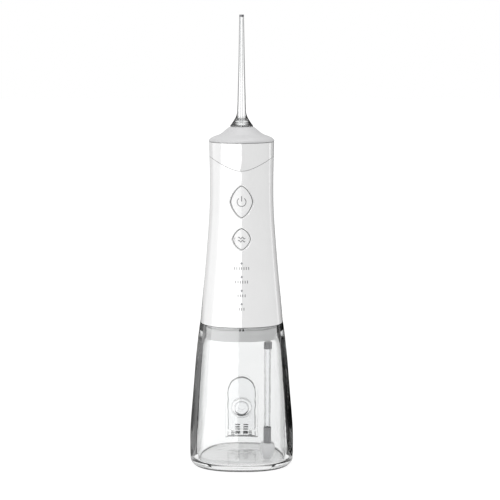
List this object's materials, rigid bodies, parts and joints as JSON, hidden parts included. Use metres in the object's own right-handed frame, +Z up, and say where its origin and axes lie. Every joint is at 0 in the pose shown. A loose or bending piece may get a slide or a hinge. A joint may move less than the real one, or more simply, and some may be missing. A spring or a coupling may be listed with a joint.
{
  "type": "cordless water flosser",
  "caption": "Cordless water flosser: clear tapered tank with a rear fill door, lift-off flared handle with two buttons, motor-driven piston pump, turning collar and pull-out jet nozzle.",
  "frame": {"origin": "centre of the tank's underside, on the table", "axes": "+Z up along the nozzle, front with the buttons faces -Y, +X to the right seen from the front"},
  "size_m": [0.07, 0.0672, 0.3],
  "materials": {
    "tank_clear": "clear moulded plastic",
    "door_clear": "clear moulded plastic",
    "soft_clear": "satin",
    "handle_white": "satin",
    "head_gloss": "gloss",
    "button_white": "satin",
    "bezel_grey": "satin",
    "light_clear": "clear",
    "collar_grey": "satin",
    "nozzle_clear": "clear moulded plastic",
    "tip_grey": "satin",
    "seal_rubber": "matt",
    "cup_white": "satin",
    "neck_rubber": "matt",
    "tube_clear": "translucent",
    "sleeve_grey": "matt",
    "filter_grey": "satin",
    "steel": "bright",
    "board_green": "satin",
    "switch_black": "satin",
    "led_white": "gloss",
    "battery_wrap": "gloss",
    "frame_grey": "satin",
    "core_grey": "satin",
    "motor_steel": "satin",
    "iron": "varnished",
    "brass": "machined",
    "acetal": "satin",
    "pump_grey": "satin",
    "hose": "translucent",
    "cover_rubber": "matt"
  },
  "bodies": {
    "tank": {"tank_shell": "tank_clear", "door_hinge_pin": "door_clear"},
    "fill_door": {"fill_door": "door_clear", "fill_plug": "soft_clear"},
    "handle": {"neck_cup": "cup_white", "neck_seal": "neck_rubber", "suction_tube": "tube_clear", "tube_sleeves": "sleeve_grey", "filter_weight": "filter_grey", "handle_shell": "handle_white", "head_band": "head_gloss", "button_bezels": "bezel_grey", "light_pipes": "light_clear", "circuit_board": "board_green", "tact_switches": "switch_black", "indicator_leds": "led_white", "battery_cell": "battery_wrap", "battery_holder": "frame_grey", "charging_socket": "steel", "head_core": "core_grey", "retaining_ring": "steel", "gearbox_plate": "frame_grey", "chassis_screws": "steel", "motor_can": "motor_steel", "pump_body": "pump_grey", "delivery_hose": "hose"},
    "collar": {"nozzle_collar": "collar_grey", "collar_seal": "seal_rubber"},
    "nozzle": {"nozzle": "nozzle_clear", "nozzle_tip": "tip_grey", "nozzle_seal": "seal_rubber"},
    "power_button": {"power_button": "button_white"},
    "mode_button": {"mode_button": "button_white"},
    "port_cover": {"port_cover": "cover_rubber"},
    "drive_gear": {"drive_gear": "acetal", "crank_pin": "steel"},
    "motor_rotor": {"motor_armature": "iron", "motor_shaft": "steel", "motor_pinion": "brass"},
    "conrod": {"conrod": "acetal"},
    "piston": {"piston": "acetal", "piston_ring": "seal_rubber"},
    "inlet_ball": {"inlet_ball": "steel"},
    "outlet_ball": {"outlet_ball": "steel"}
  },
  "joints": [
    {"name": "handle_lift", "type": "slide", "parent": "tank", "child": "handle", "axis": [0, 0, 1], "range_m": [0, 0.1]},
    {"name": "fill_door_hinge", "type": "hinge", "parent": "tank", "child": "fill_door", "pos_m": [0, 0.0323, 0.0089], "axis": [-1, 0, 0], "range_deg": [0, 90]},
    {"name": "collar_turn", "type": "hinge", "parent": "handle", "child": "collar", "pos_m": [0, 0, 0.217], "axis": [0, 0, 1], "continuous": true},
    {"name": "nozzle_pull", "type": "slide", "parent": "collar", "child": "nozzle", "axis": [0, 0, 1], "range_m": [0, 0.03]},
    {"name": "power_press", "type": "slide", "parent": "handle", "child": "power_button", "axis": [0, 1, 0], "range_m": [0, 0.0005], "stiffness_N_per_m": 800},
    {"name": "mode_press", "type": "slide", "parent": "handle", "child": "mode_button", "axis": [0, 1, 0], "range_m": [0, 0.0005], "stiffness_N_per_m": 800},
    {"name": "port_cover_hinge", "type": "hinge", "parent": "handle", "child": "port_cover", "pos_m": [0, 0.0216, 0.145], "axis": [-1, 0, 0], "range_deg": [0, 90]},
    {"name": "gear_spin", "type": "hinge", "parent": "handle", "child": "drive_gear", "pos_m": [-0.006, -0.004, 0.1064], "axis": [0, 0, 1], "continuous": true},
    {"name": "motor_spin", "type": "hinge", "parent": "handle", "child": "motor_rotor", "pos_m": [-0.006, 0.0096, 0.1064], "axis": [0, 0, 1], "continuous": true},
    {"name": "conrod_pivot", "type": "hinge", "parent": "drive_gear", "child": "conrod", "pos_m": [-0.0048, -0.004, 0.1028], "axis": [0, 0, 1], "continuous": true},
    {"name": "piston_stroke", "type": "slide", "parent": "handle", "child": "piston", "axis": [1, 0, 0], "range_m": [-0.0024, 0]},
    {"name": "inlet_ball_lift", "type": "slide", "parent": "handle", "child": "inlet_ball", "axis": [0, 0, 1], "range_m": [0, 0.001]},
    {"name": "outlet_ball_lift", "type": "slide", "parent": "handle", "child": "outlet_ball", "axis": [0, 0, 1], "range_m": [0, 0.001]}
  ],
  "couplings": [
    {"joint": "gear_spin", "follows": "motor_spin", "ratio": -0.25},
    {"joint": "conrod_pivot", "follows": "motor_spin", "ratio": 0.25}
  ]
}
